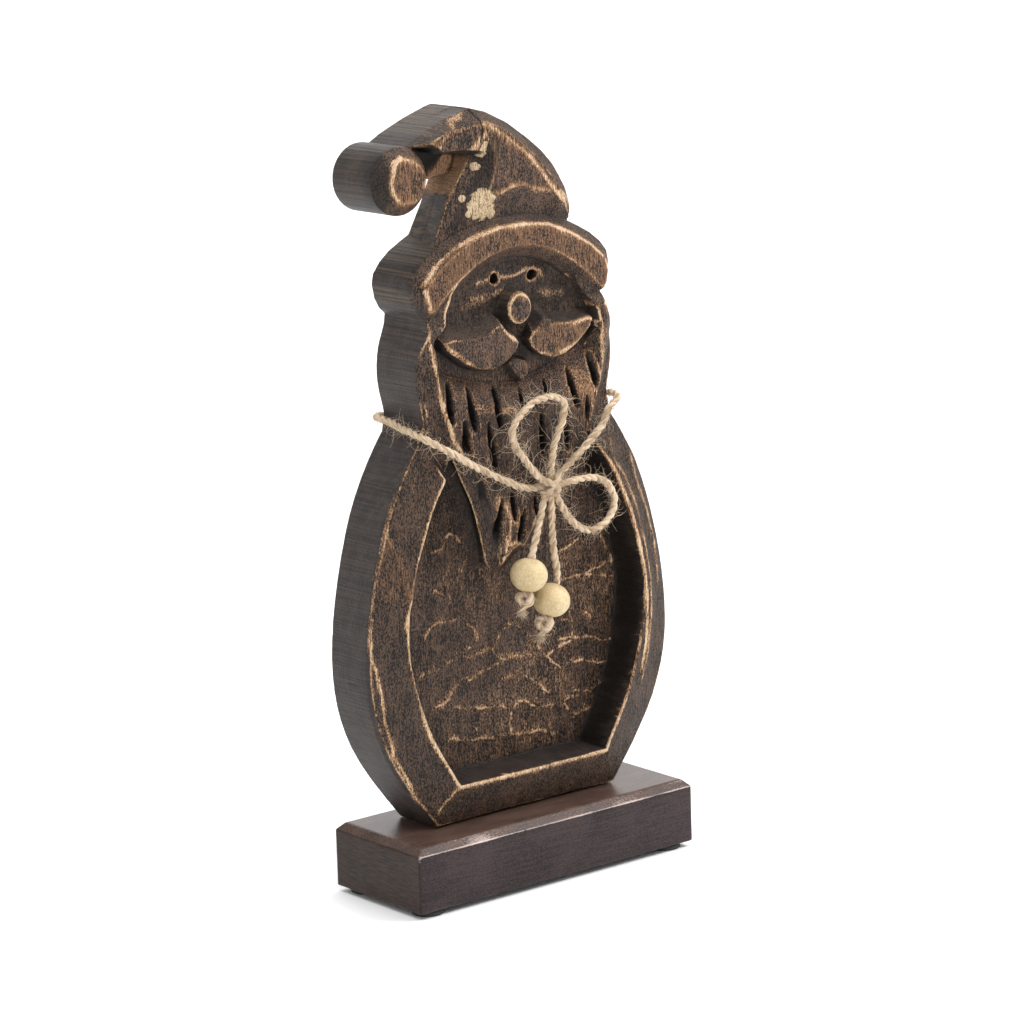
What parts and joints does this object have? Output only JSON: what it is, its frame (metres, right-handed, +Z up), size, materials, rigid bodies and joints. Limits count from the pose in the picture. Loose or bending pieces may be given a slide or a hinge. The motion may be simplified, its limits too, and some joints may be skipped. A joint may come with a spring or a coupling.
{
  "type": "wooden santa figure",
  "caption": "Carved board Santa with a recessed belly panel and a hat curling to a round tip, on a chamfered plinth with small feet and a beaded twine bow at the neck.",
  "frame": {"origin": "on the ground, under the middle of the figure's width and of the plinth's depth", "axes": "+Z up, the carved face towards -Y, +X to the viewer's right"},
  "size_m": [0.1626, 0.0586, 0.3316],
  "materials": {
    "stained_wood": "matte dark espresso stain, sanded back to pale wood along the carved edges",
    "plinth_wood": "satin purple-brown stain, worn along the chamfer",
    "foot_rubber": "black, matte",
    "jute": "two-ply natural jute, fuzzy",
    "bead_wood": "natural pale wood, smooth"
  },
  "bodies": {
    "root": {"carved_figure": "stained_wood", "base_block": "plinth_wood", "foot_front_left": "foot_rubber", "foot_front_right": "foot_rubber", "foot_back_left": "foot_rubber", "foot_back_right": "foot_rubber", "jute_twine": "jute", "bead_left": "bead_wood", "bead_right": "bead_wood"}
  },
  "joints": []
}
